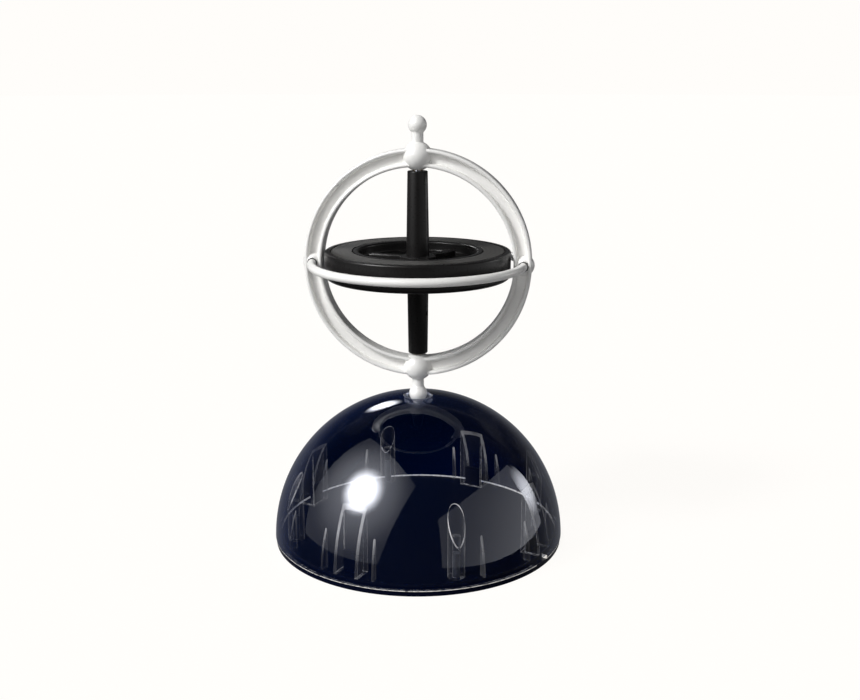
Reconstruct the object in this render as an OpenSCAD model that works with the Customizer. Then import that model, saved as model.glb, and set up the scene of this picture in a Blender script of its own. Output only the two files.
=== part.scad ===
// Toy gyroscope balancing by a ball on the crown of a transparent domed stand.
// The origin is the centre of the stand's underside, +Z is up, lengths are millimetres.
// The gimbal ring lies in the XZ plane, so the frame leans about an axis along Y.

/* [Gimbal ring] */
// Outer radius of the upright ring
ring_out_r = 38; // [36:0.5:42]
// Radial width of the upright ring
ring_width = 6; // [5:0.25:7]
// Depth of the upright ring, front to back
ring_depth = 6.2; // [5.4:0.2:6.4]
// Width of the groove in each face of the ring
groove_w = 3.4; // [2.4:0.1:3.8]
// Depth of that groove
groove_depth = 1.2; // [0.6:0.1:1.6]
// Rounding of the ring's four edges
ring_round = 0.6; // [0.3:0.1:1]
// Distance from the ring's outer edge in to the centres of all its bosses
boss_inset = 2.6; // [2.2:0.1:3.2]
// Radius of the round boss at the top and at the bottom of the ring
end_boss_r = 4.85; // [4.6:0.05:5.2]
// Radius of the round boss at each side of the ring
side_boss_r = 3.3; // [3.25:0.05:3.8]

/* [Equator hoop] */
// Radius of the round tube that the hoop is bent from
hoop_tube_r = 1.4; // [1.1:0.1:1.7]
// Gap between the two half hoops inside a side boss
hoop_joint = 0.8; // [0.4:0.1:1.4]

/* [Ball, neck and finial] */
// Radius of the two end balls
ball_r = 3.05; // [2.8:0.05:3.3]
// Radius of the necks between boss and ball
neck_r = 1.95; // [1.7:0.05:2.2]
// Distance between the lower boss's centre and the pivot ball's centre
neck_reach = 9.7; // [9:0.1:12]
// Distance between the upper boss's centre and the finial ball's centre
finial_reach = 10; // [9:0.1:13]
// Radius of the shank that fixes each neck in its boss
shank_r = 1.4; // [1.1:0.1:1.6]
// Length of that shank
shank_len = 3.6; // [3:0.1:3.9]

/* [Rotor] */
// Gap between the rotor's rim and the ring around it
rotor_gap = 1; // [0.7:0.1:2]
// Thickness of the rotor's rim
rotor_h = 9; // [8:0.5:10]
// Radial width of the rotor's rim
rim_width = 11.3; // [10:0.1:13]
// Rounding of the rim's edges
rim_round = 2.1; // [1.5:0.1:2.6]
// Flat land of the rim on each side of the weight
weight_land = 0.15; // [0.05:0.05:0.6]
// Thickness of the weight set in the rim's top face
weight_h = 3.4; // [2:0.1:4]
// Thickness of the web inside the rim
web_h = 1.8; // [1.2:0.1:2.6]
// Number of spokes on each side of the web
spoke_count = 3; // [3:1:6]
// Direction of the first spoke
spoke_turn = 51.5; // [0:0.5:90]
// Width of a spoke
spoke_w = 3.2; // [2:0.1:4]
// Gap between the spokes' ends and the rim
spoke_gap = 3.2; // [1:0.1:6]
// Height of the spokes and the hub above and below the web
spoke_rise = 1.7; // [1:0.1:2.6]
// Radius of the hub
hub_r = 6; // [5.2:0.1:8]

/* [Spindle and bearings] */
// Radius of the upper spindle at its tip
upper_tip_r = 3.35; // [3:0.05:3.6]
// Radius of the upper spindle at the web
upper_root_r = 3.85; // [3.6:0.05:4.4]
// Radius of the lower spindle at its tip
lower_tip_r = 3.15; // [2.9:0.05:3.4]
// Radius of the lower spindle at the web
lower_root_r = 3.55; // [3.4:0.05:4.2]
// Bevel of the spindles' tips
tip_bevel = 0.5; // [0.2:0.1:0.8]
// Gap between each spindle's tip and the boss next to it
tip_gap = 0.5; // [0.3:0.1:1]
// Radius of the steel axle pins
pin_r = 1; // [0.8:0.05:1.2]
// Length of an axle pin inside its spindle
pin_grip = 8; // [5:0.5:10]
// Length of an axle pin that stands out of its spindle
pin_reach = 2.9; // [2.4:0.1:3.4]
// Length of the cone at the pin's point
pin_point = 0.8; // [0.4:0.1:1]
// Wall of the bearing bush around the pin
bush_wall = 0.9; // [0.6:0.1:1.2]
// Length of the bearing bush
bush_len = 3.4; // [3:0.1:3.8]
// Radius of the string hole across the lower spindle
string_hole_r = 0.95; // [0.7:0.05:1.1]
// Depth of the string hole below the rotor's middle
string_hole_drop = 16.8; // [12:0.1:18]
// Direction of the string hole
string_hole_turn = -13.5; // [-90:0.5:90]

/* [Domed stand] */
// Outer radius of the dome
dome_r = 50.2; // [47:0.2:53]
// Thickness of the dome's wall
dome_wall = 2; // [1.6:0.1:2.4]
// Height above the dome's widest circle at which it is cut off
dome_trim = 0.8; // [0:0.1:2]
// Radius of the clear cup in the crown
cup_r = 5; // [4.8:0.1:5.6]
// Depth of the cup's rim below the dome's highest point
cup_sink = 0.4; // [0.3:0.05:0.6]
// Height of the pivot ball's centre above the dome's highest point
ball_rise = 0.4; // [0:0.1:1]
// Slope of the cup's flare, from the vertical
cup_flare = 53; // [50:1:55]
// Depth of the cup's body below the crown's inner face
cup_depth = 2.6; // [2:0.1:4]
// Radius of the cup's foot
cup_foot_r = 1.6; // [1:0.1:2.4]

/* [Posts, pockets and ribs inside the dome] */
// Number of screw posts, and of tab pockets between them
post_count = 4; // [3:1:6]
// Direction of the first screw post
post_turn = 23; // [0:0.5:90]
// Distance of the posts from the stand's axis
post_ring_r = 43.6; // [40:0.1:44]
// Outer radius of a post
post_r = 2.8; // [2.4:0.1:3]
// Depth of the screw hole in a post
post_hole_depth = 14; // [10:0.5:18]
// Distance of a pocket's inner face from the stand's axis
pocket_r = 41.5; // [38:0.5:42]
// Width of a pocket
pocket_w = 9; // [8:0.5:12]
// Wall of a pocket
pocket_wall = 1; // [0.8:0.1:1.4]
// Distance of the thin ribs' inner edges from the stand's axis
rib_r = 45.5; // [44:0.1:46.5]
// Thickness of the thin ribs
rib_t = 0.8; // [0.6:0.1:1.2]
// Angle between a pocket and the rib on each side of it
pocket_rib_angle = 11.5; // [10:0.5:14]
// Angle between a post and the rib beside it
post_rib_angle = 10; // [8:0.5:14]
// Width of the pry notch in the dome's lower edge
notch_w = 6.7; // [4:0.1:8]
// Height of the pry notch
notch_h = 1.5; // [1:0.1:2.5]
// Direction of the pry notch
notch_turn = -28.5; // [-35:0.5:-10]

/* [Base plate] */
// Height of the plate's edge, on which the dome stands
base_edge_h = 1.6; // [1.4:0.1:2.4]
// Height of the raised middle of the plate above its edge
base_step_h = 1.4; // [1:0.1:2.4]
// Distance of the plate's edge in from the dome's
base_inset = 0.3; // [0:0.1:1]
// Gap between the raised middle and the dome's wall
base_step_gap = 0.5; // [0.3:0.1:1]
// Height of the tabs that enter the pockets
tab_h = 7; // [4:0.5:10]
// Thickness of the tabs
tab_t = 1.2; // [0.8:0.1:1.6]
// Gap between a tab and its pocket
tab_gap = 0.4; // [0.3:0.05:0.6]

/* [Screws] */
// Radius of a screw's shank
screw_r = 1.2; // [1:0.05:1.4]
// Radius of a screw's countersunk head
screw_head_r = 2.3; // [2:0.05:2.6]
// Depth of the head's face inside the plate
screw_sink = 0.2; // [0.1:0.05:0.4]
// Length of a screw
screw_len = 11; // [8:0.5:14]
// Width of the cross recess in the head
cross_w = 0.5; // [0.4:0.05:0.7]
// Depth of the cross recess
cross_depth = 0.7; // [0.4:0.05:0.9]

/* [Clearances] */
// Radial clearance of the seats and of the running fits
fit_gap = 0.05; // [0.02:0.01:0.08]
// Clearance around the pivot ball in its cup
cup_gap = 0.3; // [0.25:0.05:0.4]
// Clearance between the pivot ball and the neck above it
neck_gap = 0.1; // [0.05:0.01:0.15]

/* [Hidden] */
$fn = 96;
CUT = 1;

dome_z = base_edge_h - dome_trim;
dome_in_r = dome_r - dome_wall;
crown_z = dome_z + dome_r;
cup_rim_z = crown_z - cup_sink;
ball_z = crown_z + ball_rise;
cup_seat_r = ball_r + cup_gap;
cup_bottom_z = dome_z + dome_in_r - cup_depth;
cup_neck_z = dome_z + sqrt(pow(dome_in_r, 2) - pow(cup_r, 2));

ring_in_r = ring_out_r - ring_width;
ring_mid_r = ring_out_r - ring_width / 2;
groove_r = (pow(groove_w / 2, 2) + pow(groove_depth, 2)) / (2 * groove_depth);
boss_ring_r = ring_out_r - boss_inset;
gyro_z = ball_z + neck_reach + boss_ring_r;
neck_face = sqrt(pow(end_boss_r, 2) - pow(neck_r + fit_gap, 2));

rotor_r = ring_in_r - rotor_gap;
rim_in_r = rotor_r - rim_width;
weight_in_r = rim_in_r + rim_round + weight_land;
weight_out_r = rotor_r - rim_round - weight_land;
spoke_end_r = rim_in_r - spoke_gap;
hub_half = web_h / 2 + spoke_rise;

spindle_reach = boss_ring_r - end_boss_r - tip_gap;
pin_end = spindle_reach + pin_reach;
bush_r = pin_r + fit_gap + bush_wall;
bush_start = boss_ring_r - sqrt(pow(end_boss_r, 2) - pow(bush_r, 2));
bush_end = bush_start + bush_len;

base_r = dome_r - base_inset;
base_top_z = base_edge_h + base_step_h;
base_step_r = sqrt(pow(dome_in_r, 2) - pow(base_top_z - dome_z, 2)) - base_step_gap;
pocket_turn = post_turn + 180 / post_count;
head_cone = screw_head_r - screw_r;

// A rectangle with four round corners, centred on its own middle
module rounded_bar(w, h, r) {
    square([w - 2 * r, h], center = true);
    square([w, h - 2 * r], center = true);
    for (x = [-1, 1], y = [-1, 1])
        translate([x * (w / 2 - r), y * (h / 2 - r)]) circle(r);
}

// A solid of revolution about Z from [radius, height] points
module turned(points) {
    rotate_extrude() polygon(points);
}

// Repeats what it holds around Z
module around(count, turn) {
    for (i = [0 : count - 1]) rotate([0, 0, turn + i * 360 / count]) children();
}

// Puts what it holds at the rotor's middle, upright or upside down
module at_gyro(up = 1) {
    translate([0, 0, gyro_z]) rotate([up > 0 ? 0 : 180, 0, 0]) children();
}

// ---- the domed stand ----

// The space inside the dome, up to the middle of its wall, for what grows from the wall
module dome_fill() {
    translate([0, 0, dome_z]) sphere(dome_r - dome_wall / 2);
}

module screw_post() {
    intersection() {
        translate([post_ring_r, 0, base_top_z]) cylinder(r = post_r, h = dome_r);
        dome_fill();
    }
}

// The blind hole that a screw cuts its thread in, through all that stands in its way
module screw_hole() {
    translate([post_ring_r, 0, base_edge_h - CUT])
        cylinder(r = screw_r + fit_gap, h = CUT + base_step_h + post_hole_depth);
}

module tab_pocket() {
    intersection() {
        difference() {
            translate([pocket_r, -pocket_w / 2, base_top_z]) cube([dome_r, pocket_w, dome_r]);
            translate([pocket_r + pocket_wall, -pocket_w / 2 + pocket_wall, base_top_z - CUT])
                cube([dome_r, pocket_w - 2 * pocket_wall, dome_r + 2 * CUT]);
        }
        dome_fill();
    }
}

module thin_rib() {
    intersection() {
        translate([rib_r, -rib_t / 2, base_top_z]) cube([dome_r, rib_t, dome_r]);
        dome_fill();
    }
}

module dome_wall_shape() {
    difference() {
        translate([0, 0, dome_z]) sphere(dome_r);
        translate([0, 0, dome_z]) sphere(dome_in_r);
        translate([0, 0, base_edge_h - 2 * dome_r])
            cylinder(r = 2 * dome_r, h = 2 * dome_r);
        translate([0, 0, cup_bottom_z]) cylinder(r = cup_r + fit_gap, h = dome_r);
        rotate([0, 0, notch_turn])
            translate([dome_in_r - 2 * CUT, -notch_w / 2, base_edge_h - CUT])
                cube([dome_wall + 4 * CUT, notch_w, notch_h + CUT]);
    }
}

module dome_shell() {
    color("midnightblue", 0.6)
        difference() {
            union() {
                dome_wall_shape();
                around(post_count, post_turn) screw_post();
                around(post_count, post_turn + post_rib_angle) thin_rib();
                around(post_count, pocket_turn) tab_pocket();
                around(post_count, pocket_turn - pocket_rib_angle) thin_rib();
                around(post_count, pocket_turn + pocket_rib_angle) thin_rib();
            }
            around(post_count, post_turn) screw_hole();
        }
}

// The cup's hollow: a round seat that runs out into a straight flare
module cup_hollow() {
    touch_r = cup_seat_r * cos(cup_flare);
    touch_z = ball_z - cup_seat_r * sin(cup_flare);
    flare_h = crown_z + CUT - touch_z;
    translate([0, 0, ball_z]) sphere(cup_seat_r);
    translate([0, 0, touch_z])
        cylinder(r1 = touch_r, r2 = touch_r + flare_h * tan(cup_flare), h = flare_h);
}

module socket_cup() {
    color("lightsteelblue", 0.5)
        difference() {
            turned([
                [0, cup_bottom_z], [cup_foot_r, cup_bottom_z], [cup_r, cup_neck_z],
                [cup_r, cup_rim_z], [0, cup_rim_z]
            ]);
            cup_hollow();
        }
}

// A countersunk screw on Z, its head's face at height 0, grown by gap all round
module screw_solid(gap, length) {
    turned([
        [0, 0], [screw_head_r + gap, 0], [screw_r + gap, head_cone],
        [screw_r + gap, length], [0, length]
    ]);
}

module base_plate() {
    color("midnightblue") {
        difference() {
            union() {
                cylinder(r = base_r, h = base_edge_h);
                cylinder(r = base_step_r, h = base_top_z);
            }
            around(post_count, post_turn) translate([post_ring_r, 0, 0]) {
                translate([0, 0, screw_sink]) screw_solid(fit_gap, base_top_z);
                translate([0, 0, -CUT])
                    cylinder(r = screw_head_r + fit_gap, h = CUT + screw_sink);
            }
        }
        around(post_count, pocket_turn)
            translate([
                pocket_r + pocket_wall + tab_gap,
                -pocket_w / 2 + pocket_wall + tab_gap,
                base_edge_h
            ])
                cube([
                    tab_t, pocket_w - 2 * pocket_wall - 2 * tab_gap, base_step_h + tab_h
                ]);
    }
}

module base_screws() {
    color("silver")
        around(post_count, post_turn) translate([post_ring_r, 0, screw_sink])
            difference() {
                screw_solid(0, screw_len);
                for (turn = [0, 90]) rotate([0, 0, turn])
                    translate([-screw_head_r * 0.6, -cross_w / 2, -CUT])
                        cube([screw_head_r * 1.2, cross_w, cross_depth + CUT]);
            }
}

// ---- the frame ----

module pivot_ball() {
    color("white") translate([0, 0, ball_z]) sphere(ball_r);
}

// The holes of one end boss: the shank's from outside and the bush's from inside
module end_boss_holes(reach) {
    translate([0, 0, boss_ring_r + neck_face]) cylinder(r = neck_r + fit_gap, h = reach);
    translate([0, 0, boss_ring_r + neck_face - shank_len - fit_gap])
        cylinder(r = shank_r + fit_gap, h = shank_len + reach);
    translate([0, 0, bush_start - CUT])
        cylinder(r = bush_r + fit_gap, h = bush_len + fit_gap + CUT);
}

module gimbal_frame() {
    color("white")
        translate([0, 0, gyro_z])
            difference() {
                union() {
                    rotate([90, 0, 0]) rotate_extrude() difference() {
                        translate([ring_mid_r, 0])
                            rounded_bar(ring_width, ring_depth, ring_round);
                        for (side = [-1, 1])
                            translate([
                                ring_mid_r,
                                side * (ring_depth / 2 - groove_depth + groove_r)
                            ])
                                circle(groove_r);
                    }
                    for (side = [-1, 1]) {
                        translate([0, 0, side * boss_ring_r]) sphere(end_boss_r);
                        translate([side * boss_ring_r, 0, 0]) sphere(side_boss_r);
                    }
                }
                rotate_extrude() translate([boss_ring_r, 0]) circle(hoop_tube_r + fit_gap);
                end_boss_holes(finial_reach);
                rotate([180, 0, 0]) end_boss_holes(neck_reach);
            }
}

// Half of the equator hoop, its ends inside the side bosses
module half_hoop(turn) {
    end_angle = asin(hoop_joint / 2 / boss_ring_r);
    translate([0, 0, gyro_z]) rotate([0, 0, turn + end_angle])
        rotate_extrude(angle = 180 - 2 * end_angle)
            translate([boss_ring_r, 0]) circle(hoop_tube_r);
}

module front_hoop() {
    color("white") half_hoop(180);
}

module rear_hoop() {
    color("white") half_hoop(0);
}

module shank() {
    translate([0, 0, boss_ring_r + neck_face - shank_len])
        cylinder(r = shank_r, h = shank_len);
}

module upper_finial() {
    color("white") at_gyro(1) {
        shank();
        translate([0, 0, boss_ring_r + neck_face])
            cylinder(r = neck_r, h = finial_reach - neck_face);
        translate([0, 0, boss_ring_r + finial_reach]) sphere(ball_r);
    }
}

module lower_neck() {
    color("white") at_gyro(-1) {
        shank();
        difference() {
            translate([0, 0, boss_ring_r + neck_face])
                cylinder(r = neck_r, h = neck_reach - neck_face);
            translate([0, 0, boss_ring_r + neck_reach]) sphere(ball_r + neck_gap);
        }
    }
}

// A bush with a blind hole that ends in a cone for the axle's point
module bearing_bush() {
    hole_r = pin_r + fit_gap;
    cone_start = pin_end - pin_point + fit_gap;
    turned([
        [hole_r, bush_start], [bush_r, bush_start], [bush_r, bush_end], [0, bush_end],
        [0, cone_start + hole_r], [hole_r, cone_start]
    ]);
}

module upper_bearing() {
    color("goldenrod") at_gyro(1) bearing_bush();
}

module lower_bearing() {
    color("goldenrod") at_gyro(-1) bearing_bush();
}

// ---- the rotor ----

module weight_section(gap) {
    translate([weight_in_r - gap, rotor_h / 2 - weight_h - gap])
        square([weight_out_r - weight_in_r + 2 * gap, weight_h + gap + (gap > 0 ? CUT : 0)]);
}

module spokes() {
    around(spoke_count, spoke_turn) translate([0, -spoke_w / 2, -hub_half])
        cube([spoke_end_r, spoke_w, 2 * hub_half]);
}

module rotor_disc() {
    color("dimgray") translate([0, 0, gyro_z])
        difference() {
            union() {
                rotate_extrude() difference() {
                    union() {
                        translate([rim_in_r + rim_width / 2, 0])
                            rounded_bar(rim_width, rotor_h, rim_round);
                        translate([0, -web_h / 2]) square([rim_in_r + rim_round, web_h]);
                        translate([0, -hub_half]) square([hub_r, 2 * hub_half]);
                    }
                    weight_section(fit_gap);
                }
                spokes();
            }
            translate([0, 0, web_h / 2])
                cylinder(r = upper_root_r + fit_gap, h = rotor_h);
            translate([0, 0, -web_h / 2 - rotor_h])
                cylinder(r = lower_root_r + fit_gap, h = rotor_h);
        }
}

module rim_weight() {
    color("darkslategray") translate([0, 0, gyro_z]) rotate_extrude() weight_section(0);
}

// One tapered sleeve, from the web out to its tip, with a blind hole for its pin
module spindle(root_r, tip_r) {
    difference() {
        turned([
            [0, web_h / 2], [root_r, web_h / 2], [root_r, hub_half],
            [tip_r, spindle_reach - tip_bevel], [tip_r - tip_bevel, spindle_reach],
            [0, spindle_reach]
        ]);
        translate([0, 0, spindle_reach - pin_grip - fit_gap])
            cylinder(r = pin_r + fit_gap, h = pin_grip + fit_gap + CUT);
    }
}

module upper_spindle() {
    color("dimgray") at_gyro(1) spindle(upper_root_r, upper_tip_r);
}

module lower_spindle() {
    color("dimgray")
        difference() {
            at_gyro(-1) spindle(lower_root_r, lower_tip_r);
            translate([0, 0, gyro_z - string_hole_drop])
                rotate([0, 0, string_hole_turn]) rotate([0, 90, 0])
                    cylinder(r = string_hole_r, h = 4 * lower_root_r, center = true);
        }
}

module axle_pin() {
    turned([
        [0, spindle_reach - pin_grip], [pin_r, spindle_reach - pin_grip],
        [pin_r, pin_end - pin_point], [pin_r - pin_point, pin_end], [0, pin_end]
    ]);
}

module upper_axle_pin() {
    color("silver") at_gyro(1) axle_pin();
}

module lower_axle_pin() {
    color("silver") at_gyro(-1) axle_pin();
}

dome_shell();
socket_cup();
base_plate();
base_screws();
pivot_ball();
gimbal_frame();
front_hoop();
rear_hoop();
upper_finial();
lower_neck();
upper_bearing();
lower_bearing();
rotor_disc();
rim_weight();
upper_spindle();
lower_spindle();
upper_axle_pin();
lower_axle_pin();
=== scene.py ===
"""Dresses a toy gyroscope that balances by its ball on the crown of a smoked, domed stand.

Lengths are metres, +Z is up, and the origin is the middle of the stand's underside. The upright
ring lies in the XZ plane and -Y is the front.
"""

import functools
import math

import bpy
from mathutils import Matrix, Vector


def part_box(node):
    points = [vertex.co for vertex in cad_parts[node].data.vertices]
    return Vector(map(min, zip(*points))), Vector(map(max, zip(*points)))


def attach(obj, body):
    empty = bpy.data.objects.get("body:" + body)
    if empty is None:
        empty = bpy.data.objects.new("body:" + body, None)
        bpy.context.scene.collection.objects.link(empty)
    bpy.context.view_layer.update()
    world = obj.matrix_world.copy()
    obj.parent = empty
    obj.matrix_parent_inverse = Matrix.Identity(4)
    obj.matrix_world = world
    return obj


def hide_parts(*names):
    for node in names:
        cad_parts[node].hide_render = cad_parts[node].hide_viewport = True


bl_info = {
    "name": "Gyroscope on a Domed Stand",
    "version": (1, 0, 0),
    "blender": (4, 5, 0),
    "location": "View3D > Sidebar > Gyroscope",
    "description": "Moulded shapes and finishes for a gyroscope and its domed stand",
    "category": "Object",
}

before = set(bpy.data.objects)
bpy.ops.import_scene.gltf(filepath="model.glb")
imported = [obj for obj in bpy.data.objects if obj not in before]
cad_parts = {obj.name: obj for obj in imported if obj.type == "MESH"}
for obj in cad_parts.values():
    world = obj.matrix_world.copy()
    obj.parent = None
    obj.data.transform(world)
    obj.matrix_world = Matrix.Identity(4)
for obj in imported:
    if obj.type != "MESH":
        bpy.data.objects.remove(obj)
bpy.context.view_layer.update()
MM = 0.001
FULL_TURN = 2 * math.pi
WELD = 0.002 * MM        # points closer than this are one
SEAT_GAP = 0.05 * MM     # clearance of the glued and pressed seats, as in the solids
ACRYLIC_IOR = 1.49


# ---- what the frame says ----

def low(node):
    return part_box(node)[0]


def high(node):
    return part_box(node)[1]


GYRO_Z = (low("rotor_disc").z + high("rotor_disc").z) / 2
ROTOR_R = high("rotor_disc").x
ROTOR_HALF = high("rotor_disc").z - GYRO_Z
HOOP_TUBE_R = (high("front_hoop").z - low("front_hoop").z) / 2
HOOP_R = high("front_hoop").x - HOOP_TUBE_R
END_BOSS_R = high("gimbal_frame").y
BALL_R = high("pivot_ball").x
BALL_Z = (low("pivot_ball").z + high("pivot_ball").z) / 2
FINIAL_Z = high("upper_finial").z - BALL_R
NECK_R = high("lower_neck").x
SPINDLE_TOP = high("upper_spindle").z
SPINDLE_FOOT = low("lower_spindle").z
WEIGHT_OUT_R = high("rim_weight").x
WEIGHT_IN_R = min(
    math.hypot(v.co.x, v.co.y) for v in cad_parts["rim_weight"].data.vertices)
CUP_R = high("socket_cup").x
CUP_RIM_Z = high("socket_cup").z
CUP_FOOT_Z = low("socket_cup").z
DOME_R = high("dome_shell").x
DOME_EDGE_Z = low("dome_shell").z


# ---- settings that a user would change ----

def linear(value):
    """A linear colour from an sRGB hex value."""
    parts = [int(value[i:i + 2], 16) / 255 for i in (0, 2, 4)]
    return [p / 12.92 if p <= 0.04045 else ((p + 0.055) / 1.055) ** 2.4 for p in parts] + [1.0]


def length(name, description, millimetres):
    return bpy.props.FloatProperty(
        name=name, description=description, default=millimetres * MM, min=0.0,
        subtype="DISTANCE", unit="LENGTH", precision=5,
    )


def angle(name, description, degrees):
    return bpy.props.FloatProperty(
        name=name, description=description, default=math.radians(degrees), subtype="ANGLE",
        unit="ROTATION",
    )


def count(name, description, default):
    return bpy.props.IntProperty(name=name, description=description, default=default, min=3)


def colour(name, description, value):
    return bpy.props.FloatVectorProperty(
        name=name, description=description, default=linear(value), subtype="COLOR", size=4,
        min=0.0, max=1.0,
    )


class GyroscopeSizes(bpy.types.PropertyGroup):
    """Sizes of the gyroscope's frame and rotor."""

    ring_out_r: length("Ring Radius", "Outer radius of the upright ring", 38)
    ring_width: length("Ring Width", "Radial width of the upright ring", 6)
    ring_depth: length("Ring Depth", "Depth of the upright ring", 6.2)
    groove_w: length("Groove Width", "Width of the groove in each face", 3.3)
    groove_depth: length("Groove Depth", "Depth of the groove in each face", 1.9)
    groove_draft: length("Groove Draft", "How far its walls lean in", 0.2)
    web_hollow: length("Web Hollow", "How far its face is hollowed", 0.15)
    ring_round: length("Ring Rounding", "Rounding of the ring's edges", 0.6)
    side_boss_r: length("Side Boss Radius", "Radius of the bosses at the sides", 3.5)
    hoop_end: length("Hoop End", "Rounding of the hoops' ends", 0.25)
    hoop_gap: length("Hoop Gap", "Gap around the hoop in a boss", 0.3)
    # The shade beads are dark beads of painted shade around the hoops' ends.
    shade_bead_r: length("Glue Bead", "Radius of the beads at the hoop's ends", 0.16)
    rim_width: length("Rim Width", "Radial width of the rotor's rim", 11.3)
    rim_round: length("Rim Rounding", "Rounding of its upper edges", 0.7)
    rim_foot_round: length("Rim Foot Rounding", "Rounding of its lower edges", 1.3)
    web_half: length("Web Half", "Half of the rotor web's thickness", 0.9)
    hub_r: length("Hub Radius", "Radius of the rotor's hub", 6)
    spoke_w: length("Spoke Width", "Width of a spoke", 3.2)
    spoke_gap: length("Spoke Gap", "Gap between a spoke's end and the rim", 3.2)
    spoke_rise: length("Spoke Rise", "Height of hub and spokes over the web", 1.7)
    spoke_turn: angle("Spoke Turn", "Direction of the first spoke", 51.5)
    spoke_count: count("Spokes", "Number of spokes on each side", 3)
    upper_tip_r: length("Upper Tip", "Radius of the upper spindle's tip", 3.35)
    upper_root_r: length("Upper Root", "Radius of the upper spindle's root", 3.85)
    lower_tip_r: length("Lower Tip", "Radius of the lower spindle's tip", 3.28)
    lower_root_r: length("Lower Root", "Radius of the lower spindle's root", 3.62)
    tip_bevel: length("Tip Bevel", "Bevel of the spindles' tips", 0.35)
    tip_lip: length("Tip Lip", "Height of the lip around a tip's dished end", 0.6)
    pin_r: length("Pin Hole", "Radius of the hole for an axle pin", 1.05)
    pin_depth: length("Pin Hole Depth", "Depth of that hole", 1.5)
    string_hole_r: length("String Hole", "Radius of the string hole", 0.95)
    string_hole_drop: length("String Hole Drop", "Its depth below the rotor's middle", 16.8)
    string_hole_turn: angle("String Hole Turn", "Direction of the string hole", -13.5)


class StandSizes(bpy.types.PropertyGroup):
    """Sizes of the domed stand."""

    dome_wall: length("Dome Wall", "Thickness of the dome's wall", 2)
    dome_trim: length("Dome Trim", "Height of its cut over its widest circle", 0.8)
    edge_round: length("Edge Rounding", "Rounding of the dome's lower edge", 0.35)
    notch_w: length("Notch Width", "Width of the pry notch", 6.7)
    notch_h: length("Notch Height", "Height of the pry notch", 1.5)
    notch_round: length("Notch Rounding", "Rounding of its corners", 0.3)
    notch_turn: angle("Notch Turn", "Direction of the pry notch", -28.5)
    inside_floor: length("Inside Floor", "Height at which posts and ribs end", 3)
    foot_line: length("Foot Line", "Height of the pale line at the wall's foot", 0.38)
    part_count: count("Posts", "Number of posts, and of pockets", 4)
    post_turn: angle("Post Turn", "Direction of the first post", 23)
    post_ring_r: length("Post Circle", "Distance from the axis", 43.6)
    post_r: length("Post Radius", "Radius of a screw post", 2.8)
    post_hole_r: length("Post Hole", "Radius of a post's screw hole", 1.25)
    post_hole_depth: length("Post Hole Depth", "Depth of that hole", 14)
    pocket_r: length("Pocket Distance", "Distance of its face from the axis", 41.5)
    pocket_w: length("Pocket Width", "Width of a pocket", 9)
    pocket_wall: length("Pocket Wall", "Wall of a pocket", 1)
    rib_r: length("Rib Distance", "Distance of its edge from the axis", 45.5)
    rib_t: length("Rib Thickness", "Thickness of a rib", 0.8)
    pocket_rib_angle: angle("Pocket Rib Angle", "Angle from a pocket to its ribs", 11.5)
    post_rib_angle: angle("Post Rib Angle", "Angle from a post to its rib", 10)
    moulded_edge: length("Moulded Edge", "Width of the frosted edges inside", 0.28)
    seam_outline: length("Seam Outline", "Width of the line around a post's seam", 0.42)
    cup_foot_r: length("Cup Foot", "Radius of the cup's foot", 1.6)
    cup_gap: length("Cup Gap", "Clearance around the ball in its cup", 0.3)
    cup_flare: angle("Cup Flare", "Its slope from the vertical", 53)


class FinishColours(bpy.types.PropertyGroup):
    """Colours of the finishes."""

    white: colour("White", "Moulded white styrene", "F4F3F0")
    # Painted shade: the dark grey of the shadow line in the gap around each hoop's end.
    seam_shade: colour("Seam Shade", "Painted shade in the seats of the hoops' ends", "4A4846")
    black: colour("Black", "Moulded black ABS", "1C1B1B")
    weight: colour("Weight", "Blackened steel of the rim weight", "333230")
    smoke: colour("Smoke", "Tint of the dome's wall", "E4E8F2")
    navy: colour("Navy", "Body colour of the dome's wall", "021030")
    # Painted shade: the far wall's inside is a dark, opaque navy in place of the dark seen
    # through both walls.
    inside: colour("Dome Inside", "Painted dark navy of the far wall, seen from inside", "000A30")
    cup: colour("Cup", "Tint of the clear cup", "B4BACB")
    # Also the colour of the frost's painted glow.
    frosted: colour("Frosted", "Moulded edges inside the dome, and their painted glow", "F2EEE8")
    base: colour("Base", "Navy styrene of the base plate", "03071C")
    zinc: colour("Zinc", "Zinc-plated steel", "B9BDC6")
    brass: colour("Brass", "Turned brass", "C9A55C")
    floor: colour("Floor", "Pale floor", "FFFDFA")


def sizes():
    return bpy.context.scene.gyroscope_sizes


def stand():
    return bpy.context.scene.stand_sizes


def colours():
    return bpy.context.scene.finish_colours


# ---- modelling, as by hand ----

def clear_selection():
    """Leaves edit mode with nothing selected."""
    if bpy.context.object and bpy.context.object.mode != "OBJECT":
        bpy.ops.object.mode_set(mode="OBJECT")
    bpy.ops.object.select_all(action="DESELECT")


def make_active(piece):
    clear_selection()
    piece.select_set(True)
    bpy.context.view_layer.objects.active = piece


def settled(name):
    """The piece just added, with its place, turn and size put into its mesh."""
    bpy.ops.object.transform_apply(location=True, rotation=True, scale=True)
    piece = bpy.context.object
    piece.name = piece.data.name = name
    return piece


def edit(piece, what="VERT"):
    """Opens a piece in edit mode with all of it selected."""
    make_active(piece)
    bpy.ops.object.mode_set(mode="EDIT")
    bpy.ops.mesh.select_mode(type=what)
    select_all()


def select_all():
    bpy.ops.mesh.select_all(action="SELECT")


def close_edit():
    """Merges doubles, turns the normals outward and leaves edit mode."""
    select_all()
    bpy.ops.mesh.remove_doubles(threshold=WELD)
    bpy.ops.mesh.normals_make_consistent(inside=False)
    bpy.ops.object.mode_set(mode="OBJECT")


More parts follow.
